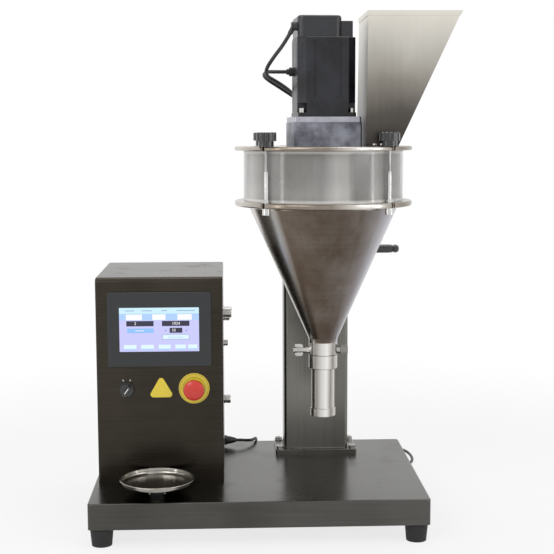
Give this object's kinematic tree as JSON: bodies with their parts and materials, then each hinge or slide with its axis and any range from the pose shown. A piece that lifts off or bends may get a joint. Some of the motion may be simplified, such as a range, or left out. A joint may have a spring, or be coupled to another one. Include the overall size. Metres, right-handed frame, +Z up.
{
  "type": "auger powder filler",
  "caption": "Bench-top auger powder filler: control cabinet and weighing dish on a tray base, and a cone hopper head with motor and chute on a cranked column.",
  "frame": {"origin": "middle of the footprint of the rigid pieces, at the level of the feet's soles; the mains lead is left out", "axes": "+X to the operator's right, +Y to the back, +Z up"},
  "size_m": [0.7002, 0.7053, 0.988],
  "materials": {
    "stainless_sheet": "brushed",
    "cabinet_steel": "satin",
    "polished_steel": "polished",
    "bolt_steel": "bright",
    "dark_steel": "black oxide",
    "foot_rubber": "matt",
    "seal": "translucent silicone",
    "black_plastic": "fine grain",
    "slide_plastic": "smooth",
    "screen": "lit screen",
    "yellow_plate": "smooth",
    "red_plastic": "smooth",
    "clear_acrylic": "clear",
    "motor_black": "powder coated",
    "motor_face": "machined",
    "cast_alloy": "bead blasted",
    "cable_skin": "smooth",
    "knob_plastic": "smooth",
    "grey_plastic": "smooth"
  },
  "bodies": {
    "base": {"base_tray": "stainless_sheet", "rubber_feet": "foot_rubber", "base_bolts": "bolt_steel", "cabinet_shell": "cabinet_steel", "rear_cover": "cabinet_steel", "cover_screws": "bolt_steel", "screen_bezel": "black_plastic", "screen_glass": "screen", "stop_disc": "yellow_plate", "stop_collar": "black_plastic", "selector_bezel": "black_plastic", "contact_blocks": "black_plastic", "caution_plate": "yellow_plate", "side_connectors": "bolt_steel", "mains_gland": "black_plastic", "dish_stem": "dark_steel", "load_cell": "motor_face", "column_foot": "stainless_sheet", "column_tube": "stainless_sheet", "rack": "dark_steel", "mains_cable": "cable_skin", "mains_coil": "cable_skin", "mains_plug": "black_plastic"},
    "head": {"carriage": "stainless_sheet", "guide_pads": "slide_plastic", "gear_housing": "cast_alloy", "top_plate": "polished_steel", "bottom_flange": "polished_steel", "ring_gaskets": "seal", "clear_ring": "clear_acrylic", "hopper_cone": "polished_steel", "tie_rods": "bolt_steel", "neck_socket": "polished_steel", "filling_tube": "polished_steel", "bearing_housing": "motor_face", "motor_seat": "cast_alloy", "motor_flange": "motor_face", "motor_body": "motor_black", "encoder_cap": "black_plastic", "chute": "stainless_sheet", "head_screws": "bolt_steel", "cable_fittings": "black_plastic", "motor_cables": "cable_skin"},
    "crank": {"pinion": "dark_steel", "crank_arm": "bolt_steel"},
    "grip": {"crank_grip": "knob_plastic"},
    "auger_drive": {"auger": "polished_steel", "stirrer": "stainless_sheet", "shaft_coupling": "motor_face", "drive_shaft": "bolt_steel"},
    "knob_1": {"star_knob_1": "knob_plastic"},
    "knob_2": {"star_knob_2": "knob_plastic"},
    "knob_3": {"star_knob_3": "knob_plastic"},
    "knob_4": {"star_knob_4": "knob_plastic"},
    "stop_stem": {"stop_plunger": "black_plastic"},
    "stop_cap": {"stop_head": "red_plastic"},
    "selector": {"selector_knob": "black_plastic"},
    "dish": {"weigh_dish": "polished_steel"},
    "wing": {"wing_screw": "bolt_steel"},
    "thumb": {"thumb_knob": "grey_plastic"}
  },
  "joints": [
    {"name": "head_lift", "type": "slide", "parent": "base", "child": "head", "axis": [0, 0, 1], "range_m": [-0.07, 0.09]},
    {"name": "crank_turn", "type": "hinge", "parent": "head", "child": "crank", "pos_m": [0.191, 0.21515, 0.54], "axis": [1, 0, 0], "range_deg": [-268, 344]},
    {"name": "grip_spin", "type": "hinge", "parent": "crank", "child": "grip", "pos_m": [0.23, 0.14484, 0.52037], "axis": [1, 0, 0], "continuous": true},
    {"name": "auger_spin", "type": "hinge", "parent": "head", "child": "auger_drive", "pos_m": [0.0985, -0.07285, 0.69], "axis": [0, 0, 1], "continuous": true},
    {"name": "stop_press", "type": "slide", "parent": "base", "child": "stop_stem", "axis": [0, 1, 0], "range_m": [0, 0.006], "stiffness_N_per_m": 900, "springref_m": -0.003},
    {"name": "stop_twist", "type": "hinge", "parent": "stop_stem", "child": "stop_cap", "pos_m": [-0.154, -0.10285, 0.271], "axis": [0, 1, 0], "range_deg": [0, 35], "stiffness_Nm_per_rad": 0.08, "springref_deg": -11.46},
    {"name": "selector_turn", "type": "hinge", "parent": "base", "child": "selector", "pos_m": [-0.285, -0.08685, 0.269], "axis": [0, 1, 0], "range_deg": [-70, 0]},
    {"name": "dish_lift", "type": "slide", "parent": "base", "child": "dish", "axis": [0, 0, 1], "range_m": [0, 0.05]},
    {"name": "wing_turn", "type": "hinge", "parent": "head", "child": "wing", "pos_m": [0.0655, -0.07285, 0.3435], "axis": [1, 0, 0], "continuous": true},
    {"name": "thumb_turn", "type": "hinge", "parent": "head", "child": "thumb", "pos_m": [0.1315, -0.07285, 0.3435], "axis": [1, 0, 0], "continuous": true},
    {"name": "knob_1_turn", "type": "hinge", "parent": "head", "child": "knob_1", "pos_m": [0.21164, 0.04029, 0.75], "axis": [0, 0, 1], "continuous": true},
    {"name": "knob_2_turn", "type": "hinge", "parent": "head", "child": "knob_2", "pos_m": [-0.01464, 0.04029, 0.75], "axis": [0, 0, 1], "continuous": true},
    {"name": "knob_3_turn", "type": "hinge", "parent": "head", "child": "knob_3", "pos_m": [-0.01464, -0.18599, 0.75], "axis": [0, 0, 1], "continuous": true},
    {"name": "knob_4_turn", "type": "hinge", "parent": "head", "child": "knob_4", "pos_m": [0.21164, -0.18599, 0.75], "axis": [0, 0, 1], "continuous": true}
  ],
  "couplings": [
    {"joint": "crank_turn", "follows": "head_lift", "rad_per_m": 66.667}
  ]
}
